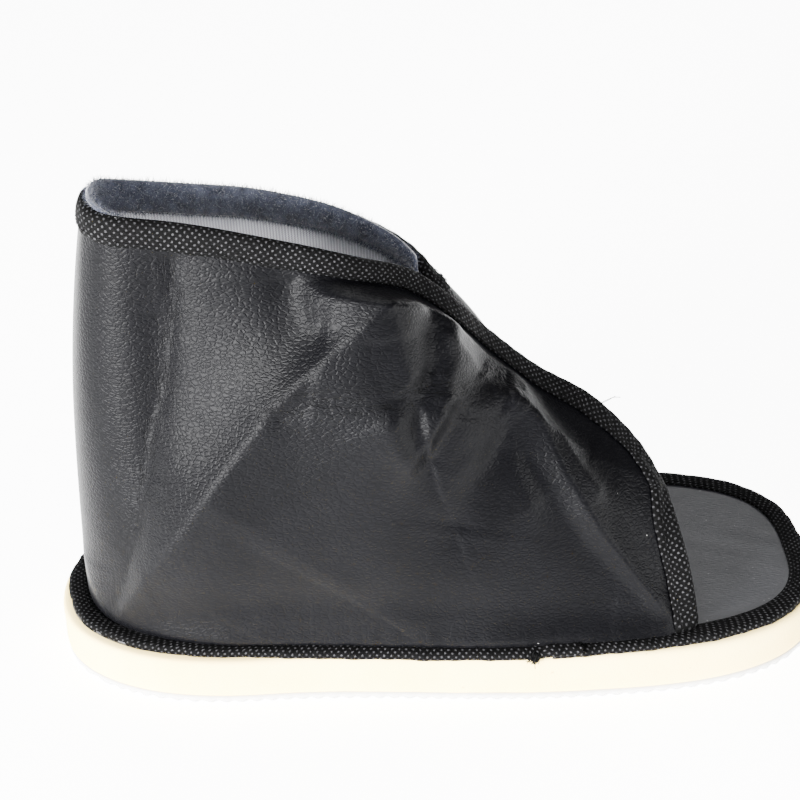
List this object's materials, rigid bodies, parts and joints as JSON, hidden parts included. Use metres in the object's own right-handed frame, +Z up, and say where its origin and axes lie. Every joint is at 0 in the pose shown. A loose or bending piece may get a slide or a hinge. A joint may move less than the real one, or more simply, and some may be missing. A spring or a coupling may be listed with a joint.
{
  "type": "cast shoe",
  "caption": "Open-toe shoe worn over a plaster cast: thick cream foam sole, taped grey insole and a loose charcoal wrapped upper with a dotted tape binding.",
  "frame": {"origin": "On the floor, below the middle of the sole's length and width", "axes": "+X from heel to toe, -Y the side of the near flap, +Z up"},
  "size_m": [0.29, 0.1196, 0.1851],
  "materials": {
    "outsole_white": "matte",
    "foam_cream": "matte",
    "insole_grey": "satin",
    "binding_black": "matte",
    "upper_charcoal": "satin"
  },
  "bodies": {
    "root": {"outsole": "outsole_white", "midsole": "foam_cream", "insole": "insole_grey", "insole_binding": "binding_black", "upper": "upper_charcoal", "edge_binding": "binding_black", "far_flap_binding": "binding_black"}
  },
  "joints": []
}
